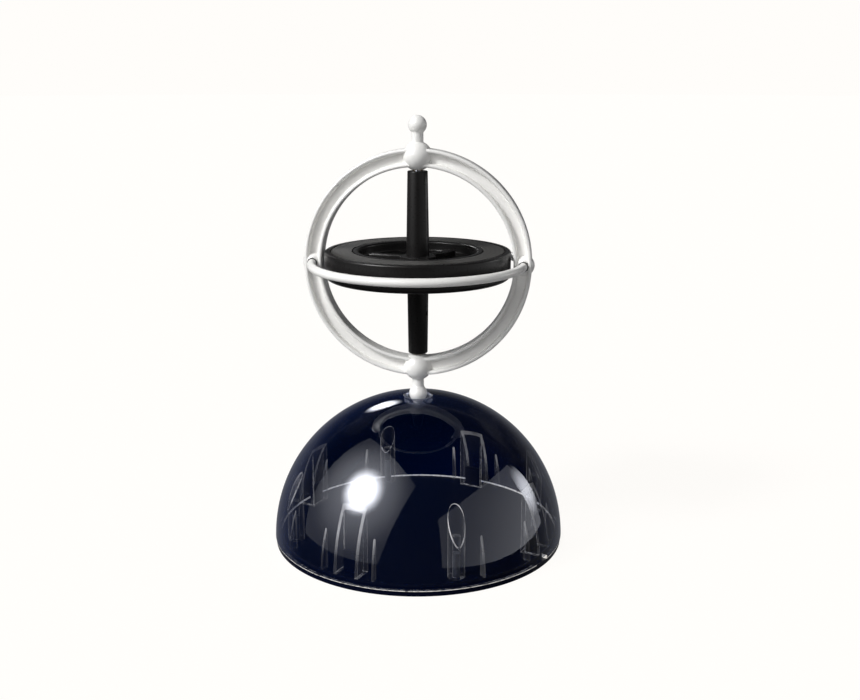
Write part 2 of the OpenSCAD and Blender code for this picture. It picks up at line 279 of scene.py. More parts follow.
def arc(centre, radius, start, end, steps):
    """Points on an arc, in degrees from the first axis towards the second."""
    return [
        (centre[0] + radius * math.cos(math.radians(start + (end - start) * i / steps)),
         centre[1] + radius * math.sin(math.radians(start + (end - start) * i / steps)))
        for i in range(steps + 1)
    ]


def slope(rise, radius):
    """The angle, in degrees, at which a radius rises by a height."""
    return math.degrees(math.asin(rise / radius))


def raised(outline, z):
    """An outline of (radius, height) points moved up to a height, none of it past the axis."""
    return [(max(r, 0), z + h) for r, h in outline]


def turned(name, outline, steps, centre=(0, 0, 0), axis=(0, 0, 1)):
    """A piece turned about an axis from an outline of (radius, height) points, which is drawn by
    extruding one corner of a plane. The outline runs from axis to axis or ends where it starts,
    and the merge then closes it."""
    centre, axis = Vector(centre), Vector(axis)
    points = [centre + Vector((r, 0, 0)) + h * axis for r, h in outline]
    clear_selection()
    bpy.ops.mesh.primitive_plane_add(size=1 * MM, location=points[0])
    piece = settled(name)
    edit(piece)
    bpy.ops.mesh.merge(type="CENTER")
    for here, there in zip(points, points[1:]):
        bpy.ops.mesh.extrude_vertices_move(TRANSFORM_OT_translate={"value": there - here})
    select_all()
    bpy.ops.mesh.spin(steps=steps, angle=FULL_TURN, center=centre, axis=axis)
    close_edit()
    return piece


def apply_modifier(piece, kind, **settings):
    """Adds a modifier with its settings and applies it."""
    make_active(piece)
    step = piece.modifiers.new(kind.title(), kind)
    for key, value in settings.items():
        setattr(step, key, value)
    bpy.ops.object.modifier_apply(modifier=step.name)


def combine(piece, other, operation):
    """Joins to a piece, or cuts from it, the other one, which is used up."""
    apply_modifier(piece, "BOOLEAN", operation=operation, solver="EXACT", object=other)
    bpy.data.objects.remove(other)


def soften(piece, width, segments=2, degrees=40):
    """Rounds a piece's sharp edges."""
    apply_modifier(piece, "BEVEL", width=width, segments=segments, limit_method="ANGLE",
                   angle_limit=math.radians(degrees))


def cylinder(radius, start, end, vertices=48):
    """A cylinder between two points."""
    clear_selection()
    start, end = Vector(start), Vector(end)
    bpy.ops.mesh.primitive_cylinder_add(
        vertices=vertices, radius=radius, depth=(end - start).length,
        location=(start + end) / 2, rotation=(end - start).to_track_quat("Z", "Y").to_euler(),
    )
    return settled("cylinder")


def block(corner, size):
    """A box at a lowest corner with a size along each axis."""
    clear_selection()
    size = Vector(size)
    bpy.ops.mesh.primitive_cube_add(size=1, location=Vector(corner) + size / 2, scale=size)
    return settled("block")


def smooth(piece, degrees):
    """Smooth shading, with edges sharper than an angle kept crisp."""
    make_active(piece)
    bpy.ops.object.shade_smooth_by_angle(angle=math.radians(degrees), keep_sharp_edges=False)


def finish_piece(piece, name, body, slot, node, *finishes, crisp=None):
    """Smooths a piece up to an angle, names it, gives it its finishes and puts it on its body,
    in place of a CAD node if it has one."""
    if crisp:
        smooth(piece, crisp)
    piece.name = piece.data.name = name
    piece.data.materials.clear()
    for each in finishes:
        piece.data.materials.append(finish(each))
    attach(piece, body)
    if node:
        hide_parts(node)


def copies_around(piece, number, first_turn):
    """Copies of a piece around Z, each with its own mesh, in place of the piece itself."""
    made = []
    for i in range(number):
        copy = piece.copy()
        copy.data = piece.data.copy()
        bpy.context.scene.collection.objects.link(copy)
        copy.data.transform(Matrix.Rotation(first_turn + i * FULL_TURN / number, 4, "Z"))
        made.append(copy)
    bpy.data.objects.remove(piece)
    return made


# ---- finishes ----

def add(tree, kind, output=0, values=None, **settings):
    """Adds a shader node, sets its inputs from values or links and gives one of its outputs."""
    node = tree.nodes.new("ShaderNode" + kind)
    for key, value in settings.items():
        setattr(node, key, value)
    for key, value in (values or {}).items():
        socket = node.inputs[key]
        if isinstance(value, bpy.types.NodeSocket):
            tree.links.new(value, socket)
        else:
            socket.default_value = value
    return node.outputs[output] if node.outputs else None


def calc(tree, operation, first, second):
    """A sum on two values."""
    return add(tree, "Math", 0, {0: first, 1: second}, operation=operation)


def blend(tree, share, first, second):
    """Two shaders mixed by the share of the second."""
    return add(tree, "MixShader", 0, {"Fac": share, 1: first, 2: second})


def ray(tree, kind):
    """1 where a ray of a kind looks, and 0 elsewhere."""
    return add(tree, "LightPath", f"Is {kind} Ray")


def along(tree, axis, space="Object"):
    """One coordinate of a point on a piece, or of a direction in the world."""
    return add(tree, "SeparateXYZ", axis, {"Vector": add(tree, "TexCoord", space)})


def grain(tree, size, detail=2.0):
    """Noise whose patches are about as large as size, in the piece's own space."""
    return add(tree, "TexNoise", "Fac", {
        "Vector": add(tree, "TexCoord", "Object"), "Scale": 1 / size, "Detail": detail,
    })


def spread(tree, source, low_value, high_value):
    """Maps a 0 to 1 pattern on to a range."""
    return add(tree, "MapRange", "Result", {
        "Value": source, "To Min": low_value, "To Max": high_value,
    })


def ease(tree, value, start, end, first, last, curve="SMOOTHSTEP"):
    """Goes smoothly from first to last while a value goes from start to end."""
    return add(tree, "MapRange", "Result", {
        "Value": value, "From Min": start, "From Max": end, "To Min": first, "To Max": last,
    }, interpolation_type=curve)


def tone(tree, source, base, darker):
    """A colour that a pattern takes a little darker in patches."""
    dark = [c * darker for c in base[:3]] + [1.0]
    return add(tree, "Mix", "Result", {"Factor": source, "A": dark, "B": base}, data_type="RGBA")


def bumps(tree, strength, depth, height):
    """A surface's direction, disturbed by a height pattern."""
    return add(tree, "Bump", 0, {"Strength": strength, "Distance": depth, "Height": height})


def new_finish(name):
    """An empty material and its tree."""
    material = bpy.data.materials.new(name)
    material.use_nodes = True
    material.node_tree.nodes.clear()
    return material, material.node_tree


def show(material, shader, passing=0.0):
    """Puts a shader on a material, and lets a share of the lamps' light through to what lies
    behind."""
    tree = material.node_tree
    if passing:
        clear = add(tree, "BsdfTransparent", 0, {"Color": [passing] * 3 + [1.0]})
        shader = blend(tree, ray(tree, "Shadow"), shader, clear)
    add(tree, "OutputMaterial", 0, {"Surface": shader})
    return material


def moulded_plastic(name, base, rough, ripple, ripple_size, darker, gloss):
    """Injection-moulded plastic: an even colour that flow marks vary by a few percent, and a
    polish that ripples slightly, so highlights have soft, uneven edges."""
    material, tree = new_finish(name)
    skin = grain(tree, ripple_size, 3.0)
    return show(material, add(tree, "BsdfPrincipled", 0, {
        "Base Color": tone(tree, grain(tree, 9 * MM), base, darker),
        "Roughness": spread(tree, skin, rough * 0.85, rough * 1.2),
        "IOR": 1.5, "Specular IOR Level": gloss,
        "Normal": bumps(tree, ripple, 0.02 * MM, skin),
    }))


def white_styrene():
    """High-impact polystyrene from a polished mould: a clean white with soft-edged highlights,
    held low so that the lit faces keep their shading."""
    return moulded_plastic(
        "WhiteStyreneMoulded", colours().white, 0.28, 0.04, 1.5 * MM, 0.985, 0.35)


def seam_shade_finish():
    """Painted shade in the seat of a hoop's end: a dark grey, satin colour that draws the shadow
    line of the gap around it.
    """
    return moulded_plastic("SeamShadePainted", colours().seam_shade, 0.5, 0.4, 0.4 * MM, 0.8, 0.2)


def black_abs():
    """ABS from a fine-textured mould: a satin black that shows broad, soft highlights."""
    return moulded_plastic("BlackABSMoulded", colours().black, 0.28, 0.25, 0.7 * MM, 0.9, 0.12)


def navy_styrene():
    """Navy polystyrene moulding: a dark, dull underside that shows as a thin edge."""
    return moulded_plastic("NavyStyreneMoulded", colours().base, 0.3, 0.3, 1.2 * MM, 0.9, 0.12)


def blackened_steel():
    """Steel with a burnished black oxide skin: a flat, even grey sheen with faint turning marks,
    about 1.6 mm apart, wider than real ones, so that they show."""
    material, tree = new_finish("BlackOxideSteelTurned")
    flat = add(tree, "CombineXYZ", 0, {"X": along(tree, "X"), "Y": along(tree, "Y")})
    marks = add(tree, "TexWave", "Fac", {
        "Vector": flat, "Scale": 200, "Distortion": 1.5, "Detail": 2.0,
    }, wave_type="RINGS", rings_direction="Z")
    return show(material, add(tree, "BsdfPrincipled", 0, {
        "Base Color": tone(tree, grain(tree, 4 * MM, 4.0), colours().weight, 0.86),
        "Roughness": spread(tree, marks, 0.53, 0.56),
        "Specular IOR Level": 0.25,
        "Normal": bumps(tree, 0.05, 0.01 * MM, marks),
    }))


def plated_metal(name, base, rough):
    """Plated or turned metal: a bright skin that fine tool marks, 0.3 mm apart, make satin."""
    material, tree = new_finish(name)
    marks = grain(tree, 0.3 * MM, 3.0)
    return show(material, add(tree, "BsdfPrincipled", 0, {
        "Base Color": tone(tree, marks, base, 0.85), "Metallic": 1.0,
        "Roughness": spread(tree, marks, rough * 0.8, rough * 1.3),
    }))


def zinc_plate():
    """Zinc plating on the screws and pins."""
    return plated_metal("ZincPlatedSteel", colours().zinc, 0.3)


def turned_brass():
    """Bushes turned from brass."""
    return plated_metal("TurnedBrass", colours().brass, 0.28)


def smoked_wall():
    """The dome's polished outer skin, acrylic: mirror-like gloss over a see-through wall with a
    navy body, which closes where the eye looks along the wall, through more of it."""
    material, tree = new_finish("SmokedAcrylicPolished")
    facing = add(tree, "LayerWeight", "Facing", {"Blend": 0.5})
    clear = add(tree, "BsdfTransparent", 0, {"Color": colours().smoke})
    body = add(tree, "BsdfDiffuse", 0, {"Color": colours().navy})
    wall = blend(tree, ease(tree, facing, 0.4, 0.8, 0.25, 1.0), clear, body)
    gloss = add(tree, "BsdfAnisotropic", 0, {
        "Color": linear("F2F5FF"), "Roughness": 0.0,
        "Normal": bumps(tree, 0.06, 0.02 * MM, grain(tree, 6 * MM)),
    })
    mirror = add(tree, "Fresnel", 0, {"IOR": ACRYLIC_IOR})
    return show(material, blend(tree, mirror, wall, gloss), 0.8)


def smoked_inside_painted_dark():
    """The dome's inner skin. Light that comes through the near wall passes it, and the far wall,
    met from inside, is painted an opaque, dark navy: painted shade in place of the dark that
    shows through both smoked walls, over the wall's own navy tint."""
    material, tree = new_finish("SmokedAcrylicInsidePaintedDark")
    deep = add(tree, "BsdfPrincipled", 0, {
        "Base Color": tone(tree, grain(tree, 8 * MM), colours().inside, 0.8),
        "Roughness": 0.12, "IOR": ACRYLIC_IOR, "Specular IOR Level": 0.3,
    })
    # Met from inside, the far wall shows the painted dark; the near wall, seen from its back,
    # stays clear.
    near = add(tree, "NewGeometry", "Backfacing")
    return show(material, blend(tree, near, deep, add(tree, "BsdfTransparent")), 0.9)


def frosted(material, share, rough, glow, passing, gap=(1.0, 1.0, 1.0, 1.0)):
    """Frosts a share of a clear face. Its glow is painted light: emission that stands in for
    light the acrylic carries to it.
    """
    tree = material.node_tree
    frost = add(tree, "BsdfPrincipled", 0, {
        "Base Color": colours().frosted, "Roughness": rough, "IOR": ACRYLIC_IOR,
        # Painted glow: the frost gives off light though it is no lamp.
        "Emission Color": colours().frosted, "Emission Strength": glow,
    })
    clear = add(tree, "BsdfTransparent", 0, {"Color": gap})
    return show(material, blend(tree, share, clear, frost), passing)


def frosted_edge_painted_glow(name="AcrylicEdgeFrostedPaintedGlow", inside_only=False):
    """Edges of the acrylic as the mould's cut left them: matt and pale, with a painted glow, so
    that they catch lamp light and draw pale, broken lines inside the dome; the lines are partly
    real lit edges and partly a painted highlight for the glints of clear edges."""
    material, tree = new_finish(name)
    share = spread(tree, grain(tree, 1.6 * MM, 4.0), -1.0, 2.5)
    if inside_only:
        near = add(tree, "NewGeometry", "Backfacing")
        share = calc(tree, "MULTIPLY", share, calc(tree, "SUBTRACT", 1.0, near))
    # The 0.42 is the edges' painted glow.
    return frosted(material, share, 0.35, 0.42, 0.8)


def foot_line_painted_highlight():
    """The pale line at the dome's foot, a painted highlight for the light that the wall's foot
    catches, shown from inside only: the near wall is looked through."""
    return frosted_edge_painted_glow("AcrylicFootLinePaintedHighlight", inside_only=True)


def seam_band_painted_shade():
    """Where a pocket or a rib grows from the wall, seen through it: a grey, matt band with a
    faint painted glow, strong above and fading towards the foot as painted shade, since less
    light reaches it there."""
    material, tree = new_finish("AcrylicSeamPaintedShade")
    # Painted shade: the band's share falls towards the foot.
    rise = ease(tree, along(tree, "Z"), 7 * MM, 17 * MM, 0.06, 0.8)
    streak = spread(tree, grain(tree, 5 * MM), 0.1, 1.5)
    return frosted(material, calc(tree, "MULTIPLY", rise, streak), 0.4, 0.1, 0.9)


def clear_face_painted_sheen():
    """Polished faces of the posts, pockets and ribs: see-through, with a painted sheen where
    they turn away from the eye: pale, faintly glowing frost whose share grows towards the
    outline."""
    material, tree = new_finish("AcrylicFacePaintedSheen")
    facing = add(tree, "LayerWeight", "Facing", {"Blend": 0.25})
    streak = spread(tree, grain(tree, 5 * MM), 0.4, 1.4)
    # Painted sheen: the share of pale frost grows as the face turns from the eye.
    share = calc(tree, "MULTIPLY", calc(tree, "POWER", facing, 2.2), streak)
    return frosted(material, share, 0.3, 0.08, 0.95, (0.93, 0.94, 0.96, 1.0))


def clear_acrylic():
    """The cup's clear acrylic, polished: bright, bent highlights and a faint tint."""
    material, tree = new_finish("ClearAcrylicPolished")
    return show(material, add(tree, "BsdfPrincipled", 0, {
        "Base Color": colours().cup, "Roughness": 0.03, "IOR": ACRYLIC_IOR,
        "Transmission Weight": 0.88,
        "Normal": bumps(tree, 0.5, 0.04 * MM, grain(tree, 1 * MM, 3.0)),
    }), 0.85)


@functools.cache
def finish(maker):
    """A finish, made once and shared."""
    return maker()


# ---- the frame ----

def ring_outline():
    """The upright ring's section: two round beads and between them a hollow web on each side."""
    s = sizes()
    half, r = s.ring_depth / 2, s.ring_round
    inner, outer = s.ring_out_r - s.ring_width, s.ring_out_r
    web = half - s.groove_depth
    wall_out = (inner + outer + s.groove_w) / 2
    wall_in = (inner + outer - s.groove_w) / 2
    lip, steps = 0.5 * (outer - wall_out), 6
    reach = s.groove_w / 2 - s.groove_draft
    hollow_r = (reach ** 2 + s.web_hollow ** 2) / (2 * s.web_hollow)
    swing = slope(reach, hollow_r)
    front = (
        arc((outer - r, half - r), r, 0, 90, steps)
        + arc((wall_out + lip, half - lip), lip, 90, 180, steps)
        + arc(((inner + outer) / 2, web + hollow_r), hollow_r, 270 + swing, 270 - swing, 12)
        + arc((wall_in - lip, half - lip), lip, 0, 90, steps)
        + arc((inner + r, half - r), r, 90, 180, steps)
    )
    return front + [(x, -y) for x, y in reversed(front)] + front[:1]


def hoop_tube(name, tube_r, start, turn, steps):
    """A stretch of a round tube around the gyroscope's middle."""
    clear_selection()
    bpy.ops.mesh.primitive_circle_add(
        vertices=32, radius=tube_r, location=(HOOP_R, 0, GYRO_Z), rotation=(math.pi / 2, 0, 0))
    tube = settled(name)
    tube.data.transform(Matrix.Rotation(start, 4, "Z"))
    edit(tube)
    if turn < FULL_TURN:
        bpy.ops.mesh.edge_face_add()
        select_all()
    bpy.ops.mesh.spin(steps=steps, angle=turn, center=(0, 0, GYRO_Z), axis=(0, 0, 1))
    close_edit()
    return tube


class GYRO_OT_gimbal_frame(bpy.types.Operator):
    """Turn the grooved upright ring and join its four bosses to it."""

    bl_idname = "gyro.gimbal_frame"
    bl_label = "Gimbal Frame"

    def execute(self, context):
        s = sizes()
        middle = Vector((0, 0, GYRO_Z))
        ring = turned("gimbal", ring_outline(), 192, middle, (0, 1, 0))
        for side in (-1, 1):
            ends = (
                (END_BOSS_R, middle + Vector((0, 0, side * HOOP_R)), 64),
                (s.side_boss_r, middle + Vector((side * HOOP_R, 0, 0)), 48),
            )
            for radius, place, segments in ends:
                clear_selection()
                bpy.ops.mesh.primitive_uv_sphere_add(
                    segments=segments, ring_count=segments // 2, radius=radius, location=place)
                combine(ring, settled("boss"), "UNION")
        tunnel_r = HOOP_TUBE_R + s.hoop_gap
        combine(ring, hoop_tube("tunnel", tunnel_r, 0, FULL_TURN, 192), "DIFFERENCE")
        bush_r = high("upper_bearing").x + SEAT_GAP
        inner = Vector((0, 0, HOOP_R - 2 * END_BOSS_R))
        for start, seat in ((middle + inner, high("upper_bearing").z),
                            (middle - inner, low("lower_bearing").z)):
            combine(ring, cylinder(bush_r, start, (0, 0, seat)), "DIFFERENCE")
        seam_shade = self.shade_beads(s)
        finish_piece(ring, "gimbal_ring", "frame", "white_plastic", "gimbal_frame",
                     white_styrene, seam_shade_finish, crisp=30)
        # The faces of the gap around the hoop take the dark seam finish: painted shade, as the
        # gap's shadow line.
        for face in ring.data.polygons:
            x, y, z = face.center - middle
            out = math.hypot(math.hypot(x, y) - HOOP_R, z)
            face.material_index = int(abs(out - tunnel_r) < 0.02 * MM)
        finish_piece(seam_shade, "hoop_seat_shade", "frame", "white_plastic", None, seam_shade_finish, crisp=60)
        return {"FINISHED"}

    @staticmethod
    def shade_beads(s):
        """One piece: a thin dark bead around the hoop at each of its mouths in the side bosses,
        which paints in the shade of the gap there.
        """
        beads = []
        off = math.asin(s.side_boss_r / HOOP_R)
        for turn in (off, -off, math.pi - off, math.pi + off):
            clear_selection()
            bpy.ops.mesh.primitive_torus_add(
                major_segments=40, minor_segments=10, major_radius=HOOP_TUBE_R + s.shade_bead_r / 2,
                minor_radius=s.shade_bead_r, rotation=(math.pi / 2, 0, turn),
                location=(HOOP_R * math.cos(turn), HOOP_R * math.sin(turn), GYRO_Z))
            beads.append(settled("bead"))
        make_active(beads[0])
        for bead in beads[1:]:
            bead.select_set(True)
        bpy.ops.object.join()
        return beads[0]


class GYRO_OT_hoops(bpy.types.Operator):
    """Bend the two half hoops, whose ends lie in the side bosses."""

    bl_idname = "gyro.hoops"
    bl_label = "Half Hoops"

    def execute(self, context):
        gap = math.asin(abs(high("front_hoop").y) / HOOP_R)
        for half, start in (("front", math.pi), ("rear", 0)):
            tube = hoop_tube("tube", HOOP_TUBE_R, start + gap, math.pi - 2 * gap, 144)
            soften(tube, sizes().hoop_end, 3)
            finish_piece(tube, f"hoop_{half}", "frame", "white_plastic", f"{half}_hoop",
                         white_styrene, crisp=50)
        return {"FINISHED"}


NECK_SINK = 0.5 * MM     # how far the necks go into their bosses


def boss_top():
    """Height over a boss's centre at which the neck comes out of it."""
    return math.sqrt(END_BOSS_R ** 2 - NECK_R ** 2)


def finial_outline():
    """The finial's ball, from its pole in, its neck and the neck's foot in the boss."""
    blend_r = 0.45 * MM
    meet = slope(NECK_R + blend_r, BALL_R + blend_r)
    waist = (BALL_R + blend_r) * math.cos(math.radians(meet))
    foot = boss_top() - NECK_SINK - abs(FINIAL_Z - (GYRO_Z + HOOP_R))
    return raised(
        arc((0, 0), BALL_R, 90, meet - 90, 24)
        + arc((NECK_R + blend_r, -waist), blend_r, 90 + meet, 180, 5)
        + [(NECK_R, foot), (0, foot)], FINIAL_Z)


def lower_neck_outline():
    """The lower neck, from its hollow seat on the ball up a fillet to its end in the boss."""
    collar, seat_r = 0.22 * MM, BALL_R + 0.1 * MM
    flare_r, fillet_r = NECK_R + collar, 3 * collar
    top = GYRO_Z - HOOP_R - boss_top() + NECK_SINK
    edge_z = BALL_Z + math.sqrt(seat_r ** 2 - flare_r ** 2)
    reach = slope(flare_r, seat_r)
    fillet = arc((NECK_R + fillet_r, edge_z + fillet_r), fillet_r, 225, 180, 5)
    return (
        raised(arc((0, 0), seat_r, 90, 90 - reach, 10), BALL_Z)
        + [(max(r, NECK_R), z) for r, z in fillet]
        + [(NECK_R, top), (0, top)]
    )


class GYRO_OT_finials(bpy.types.Operator):
    """Turn the upper finial, the lower neck and the pivot ball."""

    bl_idname = "gyro.finials"
    bl_label = "Finial, Neck and Ball"

    def execute(self, context):
        ball = raised(arc((0, 0), BALL_R, 90, -90, 40), BALL_Z)
        turnings = (
            ("finial_upper", finial_outline(), 60, "frame", "upper_finial"),
            ("neck_lower", lower_neck_outline(), 40, "frame", "lower_neck"),
            ("ball_foot", ball, 60, "ball", "pivot_ball"),
        )
        for name, outline, crisp, body, node in turnings:
            finish_piece(turned(name, outline, 64), name, body, "white_plastic", node,
                         white_styrene, crisp=crisp)
        return {"FINISHED"}


# ---- the rotor ----

FINE_BEVEL = 0.12 * MM


def rotor_outline():
    """Half section of the wheel, from its middle above round the rim to its middle below."""
    s = sizes()
    inner = ROTOR_R - s.rim_width
    gap = 0.4 * MM
    bed = ROTOR_HALF - 0.9 * MM
    hub_half = s.web_half + s.spoke_rise
    bevel, corner = 0.3 * MM, 0.8 * MM
    r, foot_r = s.rim_round, s.rim_foot_round
    top = (
        [(0, hub_half), (s.hub_r - bevel, hub_half), (s.hub_r, hub_half - bevel)]
        + [(s.hub_r, s.web_half + bevel), (s.hub_r + bevel, s.web_half)]
        + [(inner - corner, s.web_half)]
        + arc((inner - corner, s.web_half + corner), corner, 270, 360, 4)[1:]
        + arc((inner + r, ROTOR_HALF - r), r, 180, 90, 12)
        + [(WEIGHT_IN_R - gap, ROTOR_HALF), (WEIGHT_IN_R - gap, bed)]
        + [(WEIGHT_OUT_R + gap, bed), (WEIGHT_OUT_R + gap, ROTOR_HALF)]
        + arc((ROTOR_R - r, ROTOR_HALF - r), r, 90, 0, 12)[1:]
    )
    below = (
        arc((ROTOR_R - foot_r, foot_r - ROTOR_HALF), foot_r, 0, -90, 12)
        + arc((inner + foot_r, foot_r - ROTOR_HALF), foot_r, 270, 180, 12)
        + arc((inner - corner, -s.web_half - corner), corner, 0, 90, 4)
        + [(s.hub_r + bevel, -s.web_half), (s.hub_r, -s.web_half - bevel)]
        + [(s.hub_r, bevel - hub_half), (s.hub_r - bevel, -hub_half), (0, -hub_half)]
    )
    return top + below


class GYRO_OT_rotor(bpy.types.Operator):
    """Turn the rotor's wheel, add its spokes and set the weight in its rim."""

    bl_idname = "gyro.rotor"
    bl_label = "Rotor"

    def execute(self, context):
        s = sizes()
        middle = Vector((0, 0, GYRO_Z))
        wheel = turned("wheel", rotor_outline(), 192, middle)
        reach = ROTOR_R - s.rim_width - s.spoke_gap
        in_web, in_hub = 0.3 * MM, 1 * MM
        inside, outside = s.web_half - in_web, s.web_half + s.spoke_rise
        for lowest in (-outside, inside):
            spoke = block((s.hub_r - in_hub, -s.spoke_w / 2, GYRO_Z + lowest),
                          (reach - s.hub_r + in_hub, s.spoke_w, outside - inside))
            soften(spoke, FINE_BEVEL)
            for each in copies_around(spoke, s.spoke_count, s.spoke_turn):
                combine(wheel, each, "UNION")
        finish_piece(wheel, "rotor_wheel", "rotor", "black_plastic", "rotor_disc", black_abs,
                     crisp=28)
        top, foot, bevel = ROTOR_HALF, low("rim_weight").z - GYRO_Z, FINE_BEVEL
        outline = [
            (WEIGHT_IN_R, foot), (WEIGHT_IN_R, top - bevel), (WEIGHT_IN_R + bevel, top),
            (WEIGHT_OUT_R - bevel, top), (WEIGHT_OUT_R, top - bevel), (WEIGHT_OUT_R, foot),
            (WEIGHT_IN_R, foot),
        ]
        weight = turned("weight", outline, 192, middle)
        finish_piece(weight, "weight_ring", "rotor", "blackened_steel", "rim_weight",
                     blackened_steel, crisp=30)
        return {"FINISHED"}


def spindle_outline(root_r, tip_r, tip):
    """A tapered sleeve from the hub to its dished tip, whose lip comes up around the boss, with
    the hole for its pin."""
    s = sizes()
    root, hub = s.web_half, s.web_half + s.spoke_rise
    bevel, lip = s.tip_bevel, tip + s.tip_lip
    hole = tip - s.pin_depth
    return [
        (0, root), (root_r, root), (root_r, hub), (tip_r, lip - bevel),
        *arc((tip_r - bevel, lip - bevel), bevel, 0, 90, 4)[1:],
        (s.pin_r + bevel, tip), (s.pin_r, tip), (s.pin_r, hole), (0, hole),
    ]


class GYRO_OT_spindles(bpy.types.Operator):
    """Turn the two tapered spindles and drill the string hole."""

    bl_idname = "gyro.spindles"
    bl_label = "Spindles"

    def execute(self, context):
        s = sizes()
        upper = spindle_outline(s.upper_root_r, s.upper_tip_r, SPINDLE_TOP - GYRO_Z)
        lower = spindle_outline(s.lower_root_r, s.lower_tip_r, GYRO_Z - SPINDLE_FOOT)
        upper = turned("upper", raised(upper, GYRO_Z), 96)
        lower = turned("lower", [(r, GYRO_Z - h) for r, h in lower], 96)
        way = Vector((math.cos(s.string_hole_turn), math.sin(s.string_hole_turn), 0))
        hole = Vector((0, 0, GYRO_Z - s.string_hole_drop))
        reach = 2 * s.lower_root_r * way
        combine(lower, cylinder(s.string_hole_r, hole - reach, hole + reach, 40), "DIFFERENCE")
        soften(lower, FINE_BEVEL, 2, 50)
        for spindle, side in ((upper, "upper"), (lower, "lower")):
            finish_piece(spindle, f"spindle_{side}", "rotor", "black_plastic",
                         f"{side}_spindle", black_abs, crisp=35)
        return {"FINISHED"}


# ---- the stand ----

def dome_z():
    """Height of the dome's centre, below its cut edge."""
    return DOME_EDGE_Z - stand().dome_trim


def dome_outline():
    """Section of the dome's wall: outer skin, rounded lower edge, inner skin, crown hole."""
    s = stand()
    inner, hole = DOME_R - s.dome_wall, CUP_R + SEAT_GAP
    trim, r = s.dome_trim, s.edge_round
    foot = slope(s.inside_floor + s.foot_line - dome_z(), inner)
    section = (
        arc((0, 0), DOME_R, 90 - slope(hole, DOME_R), slope(trim + r, DOME_R), 90)
        + arc((math.sqrt(DOME_R ** 2 - trim ** 2) - r, trim + r), r, 0, -90, 4)[1:]
        + arc((math.sqrt(inner ** 2 - trim ** 2) + r, trim + r), r, 270, 180, 4)
        + arc((0, 0), inner, slope(trim + r, inner), foot, 3)[1:]
        + arc((0, 0), inner, foot, 90 - slope(hole, inner), 88)[1:]
    )
    return raised(section + section[:1], dome_z())


class GYRO_OT_dome(bpy.types.Operator):
    """Turn the dome's smoked wall and cut its pry notch."""

    bl_idname = "gyro.dome"
    bl_label = "Dome"

    def execute(self, context):
        s = stand()
        dome = turned("dome", dome_outline(), 192)
        cutter = block((DOME_R - 2 * s.dome_wall, -s.notch_w / 2, 0),
                       (4 * s.dome_wall, s.notch_w, DOME_EDGE_Z + s.notch_h))
        soften(cutter, s.notch_round, 3)
        cutter.data.transform(Matrix.Rotation(s.notch_turn, 4, "Z"))
        combine(dome, cutter, "DIFFERENCE")
        finish_piece(dome, "dome_wall", "stand", "smoke_dome", "dome_shell",
                     smoked_wall, smoked_inside_painted_dark, frosted_edge_painted_glow, foot_line_painted_highlight, crisp=35)
        outside, inside, frost, foot_line = range(4)
        middle = Vector((0, 0, dome_z()))
        near, edge_r = 0.1 * MM, DOME_R - 0.45 * MM
        edge_z = DOME_EDGE_Z + s.edge_round * 0.9
        foot_z = s.inside_floor + s.foot_line
        # The lower edge takes the frosted edge with its painted glow, and the inner skin near
        # the foot the foot line's painted highlight.
        for face in dome.data.polygons:
            x, y, z = face.center
            out = DOME_R - (face.center - middle).length
            skin = abs(out) < near or abs(out - s.dome_wall) < near
            at_edge = z < edge_z or (z < edge_z + s.notch_h and not skin)
            if at_edge and math.hypot(x, y) > edge_r:
                face.material_index = frost
            elif skin and out < s.dome_wall / 2:
                face.material_index = outside
            else:
                face.material_index = foot_line if z < foot_z else inside
        return {"FINISHED"}


def limit_r():
    """Radius that the pieces in the dome reach, a hair short of its inner skin."""
    return DOME_R - stand().dome_wall - 0.03 * MM


def trim_to_dome(piece):
    """Cuts a piece off at the sphere that limits it."""
    outline = raised(arc((0, 0), limit_r(), 90, -90, 64), dome_z())
    combine(piece, turned("limit", outline, 192), "INTERSECT")


